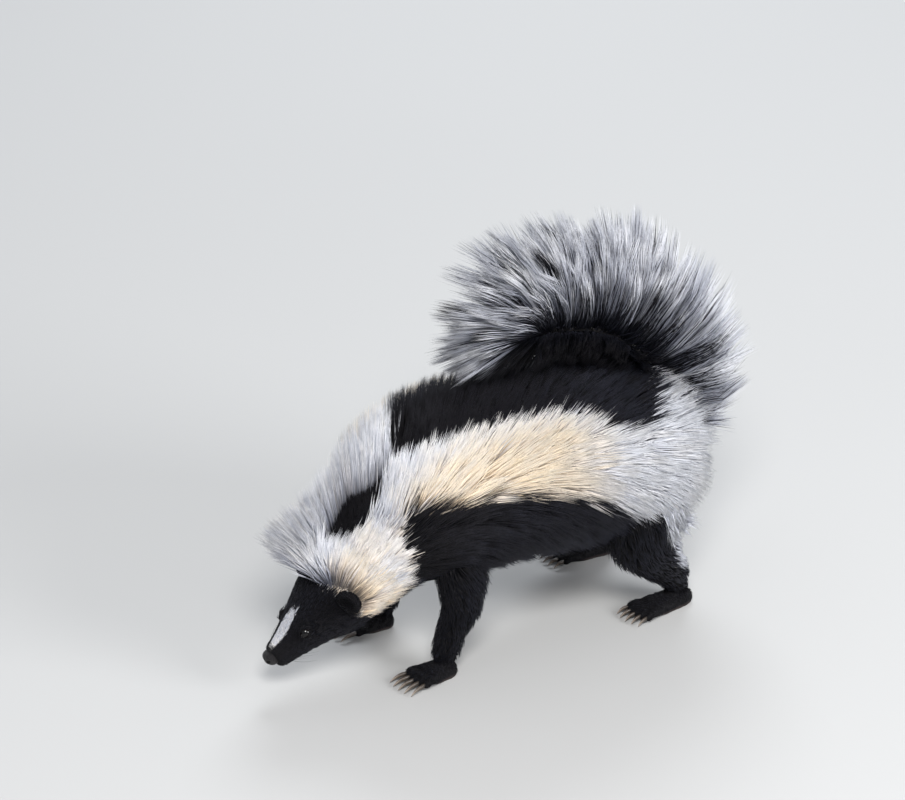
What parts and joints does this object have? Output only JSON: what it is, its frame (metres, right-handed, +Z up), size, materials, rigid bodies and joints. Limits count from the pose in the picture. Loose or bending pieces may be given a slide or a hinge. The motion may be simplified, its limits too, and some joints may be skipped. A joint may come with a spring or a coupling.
{
  "type": "striped skunk",
  "caption": "Life-size still model of a striped skunk foraging with its head down, mane raised and white plumed tail carried over its back.",
  "frame": {"origin": "on the ground under the middle of the model's bounding box", "axes": "+Z up; the animal faces -X, its left side faces -Y and its right side faces +Y"},
  "size_m": [0.3874, 0.1594, 0.2867],
  "materials": {
    "black_coat": "long black fur with a faint blue sheen",
    "white_coat": "long creamy white fur",
    "wet_black": "wet dark eye",
    "skin": "bare dark skin of the nose"
  },
  "bodies": {
    "root": {"ear_left": "black_coat", "ear_right": "black_coat", "eye_left": "wet_black", "eye_right": "wet_black", "head": "black_coat", "leg_front_left": "black_coat", "leg_front_right": "black_coat", "leg_hind_left": "black_coat", "leg_hind_right": "black_coat", "neck": "white_coat", "nose_pad": "skin", "paw_front_left": "black_coat", "paw_front_right": "black_coat", "paw_hind_left": "black_coat", "paw_hind_right": "black_coat", "tail_base": "white_coat", "tail_middle": "white_coat", "tail_tip": "white_coat", "torso": "black_coat"}
  },
  "joints": []
}
